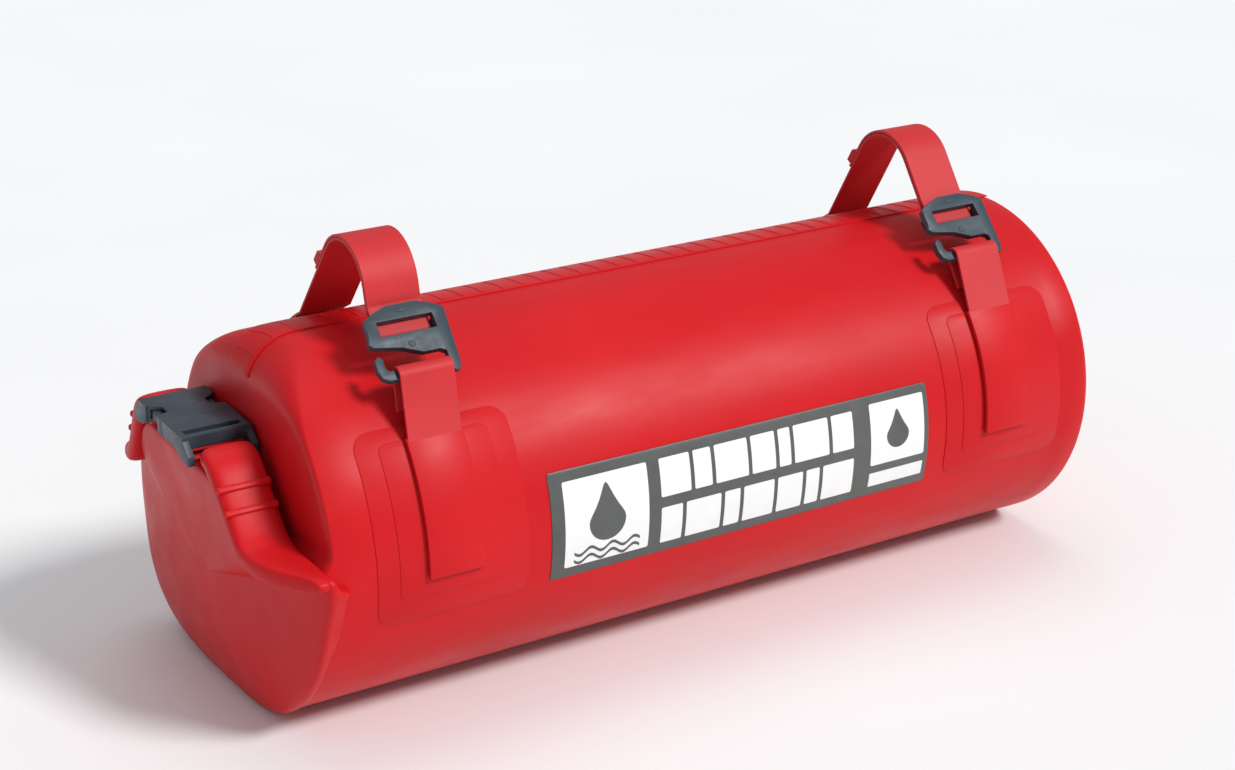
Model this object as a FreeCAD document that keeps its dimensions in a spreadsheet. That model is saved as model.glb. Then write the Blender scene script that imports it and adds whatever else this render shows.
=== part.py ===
"""Water ballast bag with two strap loops, hooks and a rolled, buckled mouth.

Frame: millimetres, +Z up, +X from the rolled mouth to the round end, the labelled side faces -Y.
The origin is on the ground under the middle of the bag. Sections are drawn about the bag's axis,
with angles counted from the front (-Y) upwards over the top.
"""
import FreeCAD, Part
import math
import os

import Sketcher

V = FreeCAD.Vector
POINT_START, POINT_END, POINT_CENTRE = 1, 2, 3
ORIGIN = -1

doc = FreeCAD.newDocument("ballast_bag")

# ---------------------------------------------------------------- driving dimensions

SIZES = {
    # the bag
    "bag_radius": 90,
    "rest_width": 40,
    "bag_wall": 1,
    "skin_gap": 0.15,
    "tube_left": -196,
    "tube_right": 221,
    "disc_thickness": 1.2,
    "weld_width": 15,
    "water_inset": 2.6,
    # the folded mouth at the left end
    "shoulder_round": 23,
    "mouth_level": 3.5,
    "mouth_depth": 37,
    "face_bulge": 12,
    "face_shrink": 34,
    "roll_clearance": 2.5,
    "roll_thickness": 10,
    "roll_reach": 97,
    "roll_gap": 0.4,
    "near_base": 52,
    "far_base": 82,
    "crest_run": 9,
    "ridge_height": 1.6,
    "ridge_width": 3,
    "stiffener_thickness": 2,
    "stiffener_width": 20,
    "stiffener_length": 70,
    # welded patches and the label
    "patch_thickness": 0.7,
    "patch_width": 77,
    "patch_low": -15.5,
    "patch_high": 43.5,
    "patch_corner": 9,
    "inner_patch_width": 55,
    "inner_patch_low": -8,
    "inner_patch_high": 39,
    "seam_width": 25,
    "label_width": 222,
    "label_low": -14.8,
    "label_high": 19.8,
    "label_thickness": 0.3,
    "print_thickness": 0.15,
    # webbing, straps and loops
    "strap_place": 161.5,
    "section_radius": 90,  # the bag radius that the hook and apex places are given for
    "webbing_width": 27,
    "webbing_thickness": 1.4,
    "layer_gap": 0.25,
    "loop_low": -1.3,
    "loop_lift": 37,
    "loop_return": 47,
    "apex_round": 22,
    "strap_tail": 36,
    # hooks
    "hook_tilt": 44,
    "hook_thickness": 3.6,
    "hook_width": 38.4,
    "hook_height": 34,
    "hook_bar": 4.5,
    "hook_slot_height": 7.5,
    "hook_slot_low": 19.2,
    "hook_slot_width": 28,
    "keeper_bar": 3,
    "keeper_drop": 5.6,
    "strap_bend": 6,
    # side-release buckle
    "buckle_width": 34,
    "buckle_height": 8,
    "buckle_wall": 1.7,
    "buckle_level": 48,
    "arm_drop": 3,
    "pin_width": 2.5,
    "pin_drop": 4.9,
    "pin_inset": 5,
    "buckle_joint": 19,
    "receiver_length": 31,
    "male_length": 26,
    "buckle_fit": 0.3,
    "prong_length": 21,
    "prong_width": 4,
    "tongue_width": 7,
    "slot_length": 5,
}

sheet = doc.addObject("Spreadsheet::Sheet", "sizes")


def fill_sheet():
    derived = {
        "axis_height": "=sqrt(bag_radius ^ 2 - (rest_width / 2) ^ 2)",
        "skin_radius": "=bag_radius + skin_gap",
        "inner_patch_radius": "=skin_radius + patch_thickness + skin_gap",
        "webbing_radius": "=inner_patch_radius + patch_thickness + skin_gap + webbing_thickness / 2",
        "roll_width": "=webbing_width",
        "roll_centre": "=tube_left - shoulder_round - roll_clearance - buckle_width / 2",
        "roll_left": "=roll_centre - roll_width / 2",
        "mouth_left": "=tube_left - mouth_depth",
    }
    for row, (name, value) in enumerate({**SIZES, **derived}.items(), 1):
        sheet.set(f"A{row}", name)
        sheet.set(f"B{row}", str(value))
        sheet.setAlias(f"B{row}", name)
    doc.recompute()


fill_sheet()


def size(name):
    return float(sheet.get(name))


AXIS = V(0, 0, size("axis_height"))
ACROSS = FreeCAD.Rotation(V(1, 1, 1), 120)  # turns a drawing's x and y into +Y and +Z
nodes = []


def around(angle, radius):
    """A point of the section at an angle from the front and a distance from the axis."""
    turn = math.radians(angle)
    return V(-radius * math.cos(turn), radius * math.sin(turn), 0)


def node(item, name):
    item.Label = name
    nodes.append(item)
    return item


# ---------------------------------------------------------------- drawing helpers


def new_body(name, placement=None):
    body = node(doc.addObject("PartDesign::Body", name), name)
    body.Placement = placement or FreeCAD.Placement(AXIS, FreeCAD.Rotation())
    return body


def new_sketch(body, name, role, height="0"):
    sketch = body.newObject("Sketcher::SketchObject", f"{body.Name}_{name}")
    plane = next(item for item in body.Origin.OriginFeatures if item.Role == role)
    sketch.AttachmentSupport = [(plane, "")]
    sketch.MapMode = "FlatFace"
    sketch.setExpression("AttachmentOffset.Base.z", height)
    return sketch


def polygon(sketch, points):
    """A closed outline of straight sides."""
    first = sketch.GeometryCount
    count = len(points)
    for here, there in zip(points, points[1:] + points[:1]):
        sketch.addGeometry(Part.LineSegment(V(*here, 0), V(*there, 0)))
    for side in range(count):
        after = first + (side + 1) % count
        sketch.addConstraint(
            Sketcher.Constraint("Coincident", first + side, POINT_END, after, POINT_START)
        )


def rectangle(sketch, low, high):
    polygon(sketch, [(low[0], low[1]), (high[0], low[1]), (high[0], high[1]), (low[0], high[1])])


def resting_circle(sketch, inset):
    """The bag's round section, flattened where it rests, moved inwards by an inset."""
    value = size_of(inset)
    radius = size("bag_radius") - value
    drop = size("axis_height") - value
    half = math.acos(drop / radius)
    low = -math.pi / 2
    circle = Part.Circle(V(0, 0, 0), V(0, 0, 1), radius)
    arc = sketch.addGeometry(Part.ArcOfCircle(circle, low + half, low - half + 2 * math.pi))
    side = radius * math.sin(half)
    flat = sketch.addGeometry(Part.LineSegment(V(-side, -drop, 0), V(side, -drop, 0)))
    sketch.addConstraint(Sketcher.Constraint("Coincident", arc, POINT_CENTRE, ORIGIN, POINT_START))
    sketch.addConstraint(Sketcher.Constraint("Coincident", arc, POINT_START, flat, POINT_END))
    sketch.addConstraint(Sketcher.Constraint("Coincident", arc, POINT_END, flat, POINT_START))
    sketch.addConstraint(Sketcher.Constraint("Horizontal", flat))
    bind(sketch, Sketcher.Constraint("Radius", arc, radius), f"sizes.bag_radius - ({inset})")
    fall = Sketcher.Constraint("DistanceY", flat, POINT_START, ORIGIN, POINT_START, drop)
    bind(sketch, fall, f"sizes.axis_height - ({inset})")


def size_of(expression):
    """The value of a sum of sheet sizes written as an expression."""
    total = 0.0
    for term in expression.split("+"):
        term = term.strip()
        total += size(term[6:]) if term.startswith("sizes.") else float(term)
    return total


def bind(sketch, constraint, expression):
    index = sketch.addConstraint(constraint)
    sketch.setExpression(f"Constraints[{index}]", expression)


def pad(body, sketch, length, name="pad", midplane=False):
    feature = body.newObject("PartDesign::Pad", f"{body.Name}_{name}")
    feature.Profile = sketch
    feature.setExpression("Length", length)
    feature.Midplane = midplane
    body.Tip = feature
    return feature


def pocket(body, sketch, length, name, reverse=False, midplane=False):
    doc.recompute()
    before = body.Shape.Volume
    feature = body.newObject("PartDesign::Pocket", f"{body.Name}_{name}")
    feature.Profile = sketch
    feature.setExpression("Length", length)
    feature.Reversed = reverse
    feature.Midplane = midplane
    body.Tip = feature
    doc.recompute()
    if body.Shape.Volume >= before:
        raise RuntimeError(f"{feature.Name} cuts nothing")
    return feature


def fillet(body, picks, radius, name="round"):
    """Round the edges of the tip that a test picks."""
    doc.recompute()
    tip = body.Tip
    edges = [f"Edge{n}" for n, edge in enumerate(tip.Shape.Edges, 1) if picks(edge)]
    feature = body.newObject("PartDesign::Fillet", f"{body.Name}_{name}")
    feature.Base = (tip, edges)
    feature.setExpression("Radius", radius)
    body.Tip = feature
    return feature


def section_drawing(name, edges, left):
    """A drawing in the section plane, at a place along the bag."""
    drawing = doc.addObject("Sketcher::SketchObject", f"{name}_path")
    for edge in edges:
        drawing.addGeometry(edge)
    drawing.Placement = FreeCAD.Placement(AXIS, ACROSS)
    drawing.setExpression("Placement.Base.x", left)
    return drawing


def extrude_along_bag(name, base, width):
    solid = doc.addObject("Part::Extrusion", name)
    solid.Base = base
    solid.DirMode = "Custom"
    solid.Dir = V(1, 0, 0)
    solid.Solid = True
    solid.setExpression("LengthFwd", width)
    return node(solid, name)


def section_path(name, edges, width, half_thickness, left):
    """A strip of even thickness that follows a path in the section, extruded along the bag."""
    strip = doc.addObject("Part::Offset2D", f"{name}_strip")
    strip.Source = section_drawing(name, edges, left)
    strip.Mode = "Pipe"
    strip.Fill = True
    strip.setExpression("Value", half_thickness)
    return extrude_along_bag(name, strip, width)


def rounded_bar(name, start, end, width, half_thickness, left):
    """A straight bar with round edges between two points of the section, along the bag."""
    along = (end - start).normalize()
    side = V(-along.y, along.x, 0) * half_thickness
    tip = along * half_thickness
    edges = [
        Part.LineSegment(start + side, end + side),
        Part.Arc(end + side, end + tip, end - side),
        Part.LineSegment(end - side, start - side),
        Part.Arc(start - side, start - tip, start + side),
    ]
    return extrude_along_bag(name, section_drawing(name, edges, left), width)


def bent_path(points, radii):
    """Straight runs joined by tangent arcs, one radius for each inner point."""
    edges = []
    start = points[0]
    for before, corner, after, radius in zip(points, points[1:], points[2:], radii):
        inwards = (before - corner).normalize()
        onwards = (after - corner).normalize()
        half = inwards.getAngle(onwards) / 2
        reach = radius / math.tan(half)
        middle = (inwards + onwards).normalize()
        centre = corner + middle * (radius / math.sin(half))
        first, last = corner + inwards * reach, corner + onwards * reach
        edges.append(Part.LineSegment(start, first))
        edges.append(Part.Arc(first, centre - middle * radius, last))
        start = last
    edges.append(Part.LineSegment(start, points[-1]))
    return edges


def bag_arc(angle_from, angle_to, radius):
    middle = (angle_from + angle_to) / 2
    return Part.Arc(around(angle_from, radius), around(middle, radius), around(angle_to, radius))


def tangent_point(centre, radius, point, side):
    """Where a line from a point touches a circle, on the side given as +1 or -1."""
    reach = point - centre
    turn = math.atan2(reach.y, reach.x) + side * math.acos(radius / reach.Length)
    return centre + V(math.cos(turn), math.sin(turn), 0) * radius


def ring_sector(name, left, width, angle_from, angle_to, inner, thickness, corner=None):
    """A sheet wrapped on the bag between two angles, with optional rounded corners."""
    body = new_body(name)
    sketch = new_sketch(body, "outline", "YZ_Plane", left)
    radius = size_of(inner)
    outer = radius + size_of(thickness)
    low, high = math.radians(180 - angle_to), math.radians(180 - angle_from)
    inner_arc = sketch.addGeometry(Part.ArcOfCircle(Part.Circle(V(), V(0, 0, 1), radius), low, high))
    outer_arc = sketch.addGeometry(Part.ArcOfCircle(Part.Circle(V(), V(0, 0, 1), outer), low, high))
    starts = (around(angle_to, radius), around(angle_to, outer))
    ends = (around(angle_from, radius), around(angle_from, outer))
    top = sketch.addGeometry(Part.LineSegment(*starts))
    foot = sketch.addGeometry(Part.LineSegment(*ends))
    for arc, place in ((inner_arc, POINT_START), (outer_arc, POINT_END)):
        centre = Sketcher.Constraint("Coincident", arc, POINT_CENTRE, ORIGIN, POINT_START)
        sketch.addConstraint(centre)
        sketch.addConstraint(Sketcher.Constraint("Coincident", arc, POINT_START, top, place))
        sketch.addConstraint(Sketcher.Constraint("Coincident", arc, POINT_END, foot, place))
    bind(sketch, Sketcher.Constraint("Radius", inner_arc, radius), inner)
    bind(sketch, Sketcher.Constraint("Radius", outer_arc, outer), f"{inner} + {thickness}")
    pad(body, sketch, width)
    if corner:
        short = size_of(thickness) * 1.5
        fillet(body, lambda edge: edge.Length < short, corner)
    return body


# ---------------------------------------------------------------- the bag


def make_bag():
    tube = new_body("bag_tube")
    ring = new_sketch(tube, "ring", "YZ_Plane", "sizes.tube_left")
    resting_circle(ring, "0")
    resting_circle(ring, "sizes.bag_wall")
    pad(tube, ring, "sizes.tube_right - sizes.tube_left")

    disc = new_body("end_disc")
    face = new_sketch(disc, "face", "YZ_Plane", "sizes.tube_right - sizes.disc_thickness")
    resting_circle(face, "sizes.bag_wall + sizes.skin_gap")
    pad(disc, face, "sizes.disc_thickness")

    flange = new_body("end_weld_flange")
    inside = "sizes.tube_right - sizes.disc_thickness - sizes.skin_gap - sizes.weld_width"
    hoop = new_sketch(flange, "hoop", "YZ_Plane", inside)
    resting_circle(hoop, "sizes.bag_wall + sizes.skin_gap")
    resting_circle(hoop, "sizes.bag_wall + sizes.skin_gap + sizes.bag_wall")
    pad(flange, hoop, "sizes.weld_width")

    water = new_body("water_fill")
    fill = new_sketch(water, "fill", "YZ_Plane", "sizes.tube_left + sizes.water_inset")
    resting_circle(fill, "sizes.water_inset")
    length = "sizes.tube_right - sizes.disc_thickness - 2 * sizes.water_inset - sizes.tube_left"
    pad(water, fill, length)

    seam_angle = math.degrees(size("seam_width") / size("bag_radius"))
    seam_length = "sizes.tube_right - sizes.tube_left - 2"
    ring_sector("top_seam_strip", "sizes.tube_left + 1", seam_length, 90, 90 + seam_angle,
                "sizes.skin_radius", "sizes.patch_thickness")


# ---------------------------------------------------------------- the folded mouth


def make_shoulder():
    """The upper left end: a rounded shoulder that falls to the fold above the mouth."""
    body = new_body("shoulder_cap")
    profile = new_sketch(body, "profile", "XZ_Plane")
    left = size("tube_left") - size("skin_gap")
    wall = size("bag_wall")
    bend = size("shoulder_round")
    outer = size("bag_radius") - wall / 2
    level = size("mouth_level") + size("skin_gap")

    def quarter(radius):
        circle = Part.Circle(V(left, outer - bend, 0), V(0, 0, 1), radius)
        return Part.ArcOfCircle(circle, math.pi / 2, math.pi)

    inner = bend - wall
    corners = [
        Part.LineSegment(V(left - bend, outer - bend, 0), V(left - bend, level, 0)),
        Part.LineSegment(V(left - bend, level, 0), V(left - inner, level, 0)),
        Part.LineSegment(V(left - inner, level, 0), V(left - inner, outer - bend, 0)),
        Part.LineSegment(V(left, outer - wall, 0), V(left, outer, 0)),
    ]
    for edge in [quarter(bend), *corners[:3], quarter(inner), corners[3]]:
        profile.addGeometry(edge)
    turn = body.newObject("PartDesign::Revolution", "shoulder_cap_turn")
    turn.Profile = profile
    turn.ReferenceAxis = (profile, ["H_Axis"])
    turn.Angle = 180
    turn.Midplane = True
    body.Tip = turn
    below = new_sketch(body, "below", "YZ_Plane", "sizes.tube_left - 2 * sizes.shoulder_round")
    reach = size("bag_radius") + 1
    rectangle(below, (-reach, -1), (reach, level))
    pocket(body, below, "3 * sizes.shoulder_round", "fold_cut", reverse=True)


def half_round(sketch, radius, drop, level, lower):
    """The part of a resting circle below a level, its centre lowered by an amount."""
    side_top = math.sqrt(radius ** 2 - (level + lower) ** 2)
    side_low = math.sqrt(radius ** 2 - drop ** 2)
    right_start = math.atan2(-drop, side_low)
    right_end = math.atan2(level + lower, side_top)
    circle = Part.Circle(V(0, -lower, 0), V(0, 0, 1), radius)
    sketch.addGeometry(Part.ArcOfCircle(circle, right_start, right_end))
    sketch.addGeometry(Part.ArcOfCircle(circle, math.pi - right_end, math.pi - right_start))
    low = -drop - lower
    sketch.addGeometry(Part.LineSegment(V(side_top, level, 0), V(-side_top, level, 0)))
    sketch.addGeometry(Part.LineSegment(V(-side_low, low, 0), V(side_low, low, 0)))


def make_mouth():
    """The lower left end: the bag's underside, closed by a bulging face."""
    body = new_body("mouth_face")
    radius, drop = size("bag_radius"), size("axis_height")
    level = size("mouth_level")
    near = new_sketch(body, "near", "YZ_Plane", "sizes.mouth_left")
    half_round(near, radius, drop, level, 0)
    pad(body, near, "sizes.mouth_depth - sizes.skin_gap")
    shrink = size("face_shrink")
    base = new_sketch(body, "base", "YZ_Plane", "sizes.mouth_left")
    half_round(base, radius, drop, level, 0)
    nose = new_sketch(body, "nose", "YZ_Plane", "sizes.mouth_left - sizes.face_bulge")
    half_round(nose, radius - shrink, drop - shrink, level, 0)
    loft = body.newObject("PartDesign::AdditiveLoft", "mouth_face_bulge")
    loft.Profile = base
    loft.Sections = [nose]
    loft.Ruled = True
    body.Tip = loft


def arm_points(side):
    """The middle of a roll end's thickness, from the bag's flank up to the buckle."""
    half = size("roll_thickness") / 2
    gap = size("roll_gap")
    foot = size("mouth_level") + gap + half
    top = size("buckle_level") - size("arm_drop")
    if side < 0:
        base = size("near_base")
        inner = size("buckle_joint") - size("male_length") - gap - half
    else:
        base = size("far_base")
        inner = size("buckle_joint") + size("receiver_length") + gap + half
    crest = inner + side * size("crest_run")
    return [V(side * size("roll_reach"), foot, 0), V(side * base, foot, 0), V(crest, top, 0),
            V(inner, top, 0)]


def slope_place(side, level):
    """Where the middle of a roll end's slope is at a level."""
    base, crest = arm_points(side)[1:3]
    return base.x + (crest.x - base.x) * (level - base.y) / (crest.y - base.y)


def make_roll():
    left = "sizes.roll_left"
    half = "sizes.roll_thickness / 2"
    ends = {"near": -1, "far": 1}
    for name, side in ends.items():
        points = arm_points(side)
        arm = bent_path(points, [8, 6])
        section_path(f"roll_arm_{name}", arm, "sizes.roll_width", half, left)
        make_ridges(name, side, points)
    make_rolled_mouth()


def make_ridges(name, side, points):
    """Two raised weld bars across the slope of a roll end."""
    low, high = points[1], points[2]
    along = (high - low).normalize()
    out = V(along.y, -along.x, 0) * side
    clear = size("roll_thickness") / 2 + size("skin_gap") + size("ridge_height") / 2
    bars = []
    for number, place in enumerate((0.46, 0.66), 1):
        middle = low + (high - low) * place + out * clear
        half = along * (size("ridge_width") - size("ridge_height")) * 0.5
        bar = rounded_bar(f"ridge_{name}_{number}", middle - half, middle + half,
                          "sizes.roll_width", size("ridge_height") / 2, "sizes.roll_left")
        nodes.remove(bar)
        bars.append(bar)
    group = doc.addObject("Part::Compound", f"roll_ridges_{name}")
    group.Links = bars
    node(group, f"roll_ridges_{name}")


def make_rolled_mouth():
    """The rolled middle of the mouth between the two ends, with its stiffening batten."""
    body = new_body("rolled_mouth")
    clear = size("roll_thickness") / 2 + size("roll_gap") + 2.5
    level = size("mouth_level") + size("roll_gap")
    top = arm_points(-1)[3].y - size("roll_thickness") / 2 - 1
    base = arm_points(-1)[1].y
    left = slope_place(-1, base) + clear + 1
    right = slope_place(1, base) - clear - 1
    block = new_sketch(body, "block", "YZ_Plane", "sizes.roll_left + 1")
    polygon(block, [(left, level), (right, level), (slope_place(1, top) - clear, top),
                    (slope_place(-1, top) + clear, top)])
    pad(body, block, "sizes.roll_width - 2")
    thick = size("stiffener_thickness") / 2
    middle = (left + right) / 2
    length = size("stiffener_length") / 2
    high = level + size("stiffener_width") * 0.7
    gap = size("skin_gap")
    room = new_sketch(body, "room", "YZ_Plane", "sizes.roll_left + 1 + 3")
    rectangle(room, (middle - length - gap, high - thick - gap), (middle + length + gap, high + thick + gap))
    pocket(body, room, "sizes.stiffener_width", "slot", reverse=True)
    batten = new_body("mouth_stiffener")
    strip = new_sketch(batten, "strip", "YZ_Plane", "sizes.roll_left + 1 + 3 + sizes.skin_gap")
    rectangle(strip, (middle - length, high - thick), (middle + length, high + thick))
    pad(batten, strip, "sizes.stiffener_width - 2 * sizes.skin_gap")


# ---------------------------------------------------------------- patches and label


def make_patches(name, place):
    low, high = size("patch_low"), size("patch_high")
    inner_low, inner_high = size("inner_patch_low"), size("inner_patch_high")
    sides = {"front": (low, high, inner_low, inner_high),
             "back": (180 - high, 180 - low, 180 - inner_high, 180 - inner_low)}
    for side, (low_angle, high_angle, inner_from, inner_to) in sides.items():
        ring_sector(f"{side}_patch_{name}", f"{place} - sizes.patch_width / 2", "sizes.patch_width",
                    low_angle, high_angle, "sizes.skin_radius", "sizes.patch_thickness",
                    "sizes.patch_corner")
        ring_sector(f"{side}_inner_patch_{name}", f"{place} - sizes.inner_patch_width / 2",
                    "sizes.inner_patch_width", inner_from, inner_to, "sizes.inner_patch_radius",
                    "sizes.patch_thickness", "sizes.patch_corner / 2")


def make_label():
    low, high = size("label_low"), size("label_high")
    ring_sector("label_panel", "-sizes.label_width / 2", "sizes.label_width", low, high,
                "sizes.skin_radius", "sizes.label_thickness")
    span = high - low
    middle = (low + high) / 2
    radius = "sizes.skin_radius + sizes.label_thickness + sizes.skin_gap"
    blocks = {
        "square": (-104, 46, low + 0.1 * span, high - 0.1 * span),
        "upper_bar": (-50, 118, middle + 0.06 * span, high - 0.12 * span),
        "lower_bar": (-50, 118, low + 0.12 * span, middle - 0.06 * span),
        "right_tile": (74, 34, low + 0.32 * span, high - 0.08 * span),
        "right_foot": (74, 34, low + 0.1 * span, low + 0.25 * span),
    }
    marks = []
    for name, (left, width, angle_from, angle_to) in blocks.items():
        mark = ring_sector(f"mark_{name}", str(left), str(width), angle_from, angle_to, radius,
                           "sizes.print_thickness")
        nodes.remove(mark)
        marks.append(mark)
    group = doc.addObject("Part::Compound", "label_print")
    group.Links = marks
    node(group, "label_print")


# ---------------------------------------------------------------- loops, straps and hooks


class Loop:
    """Where one strap loop's hook, keeper bar and apex lie in the section."""

    def __init__(self, name, place, bar, apex, landing):
        tilt = math.radians(size("hook_tilt"))
        self.name = name
        self.place = place
        grown = size("bag_radius") / size("section_radius")
        self.bar = V(*bar, 0) * grown
        self.apex = V(*apex, 0) * grown
        self.landing = landing
        self.up = V(math.cos(tilt), math.sin(tilt), 0)
        self.out = V(-math.sin(tilt), math.cos(tilt), 0)
        keeper = size("hook_slot_low") + size("hook_slot_height") / 2
        self.keeper = self.bar + self.up * keeper - self.out * size("keeper_drop")


def strip_left(place):
    return f"{place} - sizes.webbing_width / 2"


def make_front_loop(loop):
    """Webbing that rises from the front patch, turns over the hook's bar and comes back."""
    radius = size("webbing_radius")
    corner = math.hypot(size("hook_bar") / 2, size("hook_thickness") / 2)
    turn = corner + size("layer_gap") + size("webbing_thickness") / 2
    lift = around(size("loop_lift"), radius)
    back = around(size("loop_return"), radius)
    rise = tangent_point(loop.bar, turn, lift, -1)
    fall = tangent_point(loop.bar, turn, back, 1)
    crown = loop.bar + (loop.bar - (lift + back) * 0.5).normalize() * turn
    edges = [
        bag_arc(size("loop_low"), size("loop_lift"), radius),
        Part.LineSegment(lift, rise),
        Part.Arc(rise, crown, fall),
        Part.LineSegment(fall, back),
    ]
    section_path(f"front_loop_{loop.name}", edges, "sizes.webbing_width",
                 "sizes.webbing_thickness / 2", strip_left(loop.place))


def make_strap(loop):
    """Webbing from the back patch over the top to the hook's keeper bar, and its tail back."""
    radius = size("webbing_radius")
    turn = size("keeper_bar") / 2 + size("layer_gap") + size("webbing_thickness") / 2
    spacing = size("webbing_thickness") + size("layer_gap")
    foot = around(loop.landing, radius)
    behind = size("hook_thickness") / 2 + size("layer_gap") + size("webbing_thickness") / 2
    tail_bend = loop.bar + loop.up * (size("hook_height") + 2) - loop.out * behind
    main_bend = tail_bend - loop.out * spacing
    forward = (main_bend - loop.apex).normalize()
    backward = (foot - loop.apex).normalize()
    outwards = -(forward + backward).normalize()
    half = forward.getAngle(backward) / 2
    tail_apex = loop.apex + outwards * (spacing / math.sin(half))
    tail_start = tangent_point(loop.keeper, turn, tail_bend, 1)
    main_end = tangent_point(loop.keeper, turn, main_bend, -1)
    crown = loop.keeper - loop.up * turn
    across = V(-backward.y, backward.x, 0)
    tail_foot = foot + across * spacing - backward * size("strap_tail")
    bend, round_top = size("strap_bend"), size("apex_round")
    main = bent_path([foot, loop.apex, main_bend, main_end], [round_top, bend + spacing])
    tail = bent_path([tail_start, tail_bend, tail_apex, tail_foot], [bend, round_top + spacing])
    edges = [
        bag_arc(180 - size("loop_low"), loop.landing, radius),
        *main,
        Part.Arc(main_end, crown, tail_start),
        *tail,
    ]
    section_path(f"strap_{loop.name}", edges, "sizes.webbing_width",
                 "sizes.webbing_thickness / 2", strip_left(loop.place))
    lift = 1.5 * size("webbing_thickness") + size("layer_gap")
    hem = tail_foot + across * lift - backward * spacing
    rounded_bar(f"strap_hem_{loop.name}", hem, hem - backward * 7, "sizes.webbing_width",
                size("webbing_thickness"), strip_left(loop.place))


def make_hook(loop):
    """Flat hook: a slotted plate with a keeper bar behind it and an open bar below."""
    place = FreeCAD.Placement(
        V(size_of_place(loop.place), loop.bar.x, loop.bar.y + size("axis_height")),
        FreeCAD.Rotation(V(1, 0, 0), size("hook_tilt")),
    )
    body = new_body(f"hook_{loop.name}", place)
    left = -size("hook_width") / 2
    right = -left + 1.3
    top = size("hook_height")
    bar = size("hook_bar") / 2
    slot_low = size("hook_slot_low")
    inside = size("webbing_width") / 2 + 0.4
    arch = [(left, slot_low + 9.3), (left + 4.5, slot_low + 11.8), (-7, top), (8, top),
            (right - 4.5, slot_low + 12), (right, slot_low + 9.3)]
    leg = [(right - 2.1, 1), (right - 3.2, -3), (right - 5.6, -3.4), (inside, -bar)]
    tip = [(left + 1.7, -bar), (left - 1.2, -0.5), (left - 2.4, 3.5), (left - 2, 8.5), (left, 10.2),
           (left + 1.8, 8.6), (left + 1.4, 4.6), (left + 2.6, bar)]
    plate_foot = [(inside, bar), (inside, 7), (inside - 2.5, 8.4), (3, 8.4), (-6, 12.4),
                  (left, 14.8), (left - 1.8, 16.6), (left - 0.6, 20)]
    outline = arch + leg + tip + plate_foot
    shape = new_sketch(body, "shape", "XY_Plane")
    polygon(shape, outline)
    pad(body, shape, "sizes.hook_thickness", midplane=True)
    slot = new_sketch(body, "slot", "XY_Plane")
    slot_half = size("hook_slot_width") / 2
    rectangle(slot, (-slot_half, slot_low), (slot_half, slot_low + size("hook_slot_height")))
    pocket(body, slot, "2 * sizes.hook_thickness", "opening", midplane=True)
    keeper = new_sketch(body, "keeper", "YZ_Plane", "0")
    middle = slot_low + size("hook_slot_height") / 2
    drop = size("keeper_drop")
    keeper_half = size("keeper_bar") / 2
    keeper.addGeometry(Part.Circle(V(middle, -drop, 0), V(0, 0, 1), keeper_half))
    pad(body, keeper, "sizes.hook_slot_width + 4", "keeper_bar", midplane=True)
    ears = new_sketch(body, "ears", "XY_Plane")
    for side in (-1, 1):
        inner, outer = sorted((side * slot_half, side * (slot_half + 2.5)))
        rectangle(ears, (inner, middle - 2.5), (outer, middle + 2.5))
    ear = pad(body, ears, "sizes.keeper_drop + sizes.keeper_bar / 2", "ears")
    ear.Reversed = True


def size_of_place(expression):
    value = size("strap_place")
    return -value if expression.startswith("-") else value


def make_loops():
    loops = [
        Loop("left", "-sizes.strap_place", bar=(-64.5, 85), apex=(-23, 160), landing=116),
        Loop("right", "sizes.strap_place", bar=(-57.5, 83.5), apex=(5, 152), landing=122),
    ]
    for loop in loops:
        make_patches(loop.name, loop.place)
        make_front_loop(loop)
        make_strap(loop)
        make_hook(loop)


# ---------------------------------------------------------------- the buckle


def buckle_body(name, start_y):
    place = FreeCAD.Placement(
        V(size("roll_centre"), start_y, size("axis_height") + size("buckle_level")),
        FreeCAD.Rotation(),
    )
    return new_body(name, place)


def webbing_end(body, end, out):
    """Open the underside of a buckle's end for webbing, and add its pin and two side legs."""
    half = size("buckle_width") / 2
    wide = size("webbing_width") / 2 + 0.4
    deep = size("buckle_height") / 2
    cut = new_sketch(body, "underside", "XY_Plane", "-sizes.buckle_height / 2")
    low, high = sorted((end + out, end - out * 2 * size("pin_inset")))
    rectangle(cut, (-wide, low), (wide, high))
    pocket(body, cut, "sizes.buckle_height / 2 - 1.5", "webbing_room", reverse=True)
    legs = [(-10, 4), (-2, 4), (6.5, -3), (6.5, -7.5), (3, -8), (-4, -7.2), (-10, -4)]
    for name, side in {"left": -1, "right": 1}.items():
        place = f"{min(side * wide, side * half)}"
        leg = new_sketch(body, f"leg_{name}", "YZ_Plane", place)
        polygon(leg, [(end + out * along, high * deep / 4) for along, high in legs])
        pad(body, leg, str(half - wide), f"leg_{name}")
    pin = new_sketch(body, "pin", "YZ_Plane")
    centre = V(end - out * size("pin_inset"), -size("pin_drop"), 0)
    pin.addGeometry(Part.Circle(centre, V(0, 0, 1), size("pin_width") / 2))
    pad(body, pin, "sizes.buckle_width - 1", "pin", midplane=True)


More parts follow.
